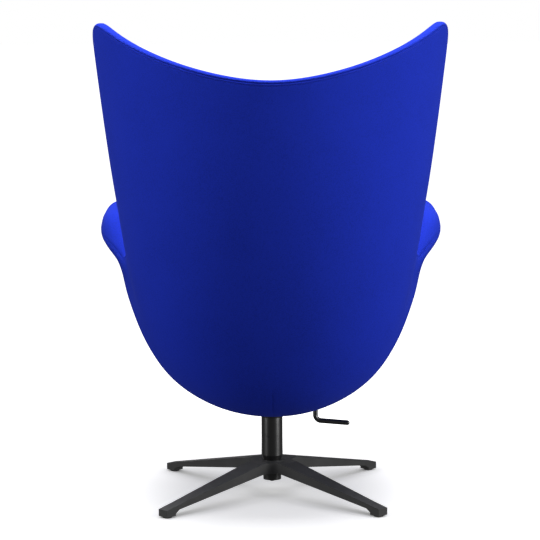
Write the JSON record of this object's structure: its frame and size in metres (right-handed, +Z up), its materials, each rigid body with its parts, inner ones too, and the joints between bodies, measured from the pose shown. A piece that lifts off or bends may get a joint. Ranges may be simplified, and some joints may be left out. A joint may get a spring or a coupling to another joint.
{
  "type": "swivel lounge chair",
  "caption": "Egg-shaped upholstered lounge chair with a high wing back, open arms and a loose seat cushion, on a star base that swivels, tilts and lifts.",
  "frame": {"origin": "on the floor under the swivel axis, which is the middle of the chair's box", "axes": "+Z up along the swivel axis, the sitter faces -Y, +X is the sitter's left"},
  "size_m": [0.8078, 0.7873, 1.1067],
  "materials": {
    "upholstery": "royal-blue woven wool upholstery with a fine nap",
    "moulded_shell": "moulded glass-fibre shell, hidden by the upholstery",
    "black_coated_aluminium": "black powder coat, satin, fine texture",
    "black_coated_steel": "black coat, semi-gloss",
    "black_plastic": "black moulded plastic",
    "bright_steel": "zinc-plated or ground steel",
    "black_rubber": "black rubber",
    "mount_plywood": "plywood block inside the shell"
  },
  "bodies": {
    "base": {"base_casting": "black_coated_aluminium", "foot_glides": "black_plastic", "glide_screws": "bright_steel", "column_tube": "black_coated_steel", "guide_bush": "black_plastic", "lower_thrust_washer": "bright_steel", "bearing_balls": "bright_steel", "bearing_cage": "black_plastic"},
    "spindle": {"piston_rod": "bright_steel", "rod_clip": "bright_steel", "upper_thrust_washer": "bright_steel", "height_stop": "black_rubber"},
    "carriage": {"gas_cylinder": "bright_steel", "mechanism_housing": "black_coated_steel", "tilt_pin": "bright_steel", "pin_clips": "bright_steel", "lever_pin": "bright_steel", "tilt_buffers": "black_rubber", "tilt_springs": "bright_steel"},
    "seat": {"tilt_plate": "black_coated_steel", "pivot_bushes": "black_plastic", "mount_bolts": "bright_steel", "mount_washers": "bright_steel", "mount_inserts": "bright_steel", "mount_pad": "mount_plywood", "back_cover": "upholstery", "shell_core": "moulded_shell", "inner_padding": "upholstery", "rim_band": "upholstery", "seat_cushion": "upholstery"},
    "lever": {"lever_rod": "black_coated_steel"},
    "valve": {"valve_button": "black_plastic"}
  },
  "joints": [
    {"name": "swivel", "type": "hinge", "parent": "base", "child": "spindle", "pos_m": [0, 0, 0.05], "axis": [0, 0, 1], "continuous": true},
    {"name": "height", "type": "slide", "parent": "spindle", "child": "carriage", "axis": [0, 0, 1], "range_m": [0, 0.06]},
    {"name": "tilt", "type": "hinge", "parent": "carriage", "child": "seat", "pos_m": [0, -0.06, 0.224], "axis": [-1, 0, 0], "range_deg": [0, 12], "stiffness_Nm_per_rad": 250, "springref_deg": -14.32, "deforming": ["tilt_springs"]},
    {"name": "lever", "type": "hinge", "parent": "carriage", "child": "lever", "pos_m": [-0.061, 0, 0.215], "axis": [0, 1, 0], "range_deg": [0, 4], "stiffness_Nm_per_rad": 4, "springref_deg": -2.86},
    {"name": "valve", "type": "slide", "parent": "carriage", "child": "valve", "axis": [0, 0, -1], "range_m": [0, 0.00426]}
  ],
  "couplings": [
    {"joint": "valve", "follows": "lever", "m_per_rad": 0.061}
  ]
}
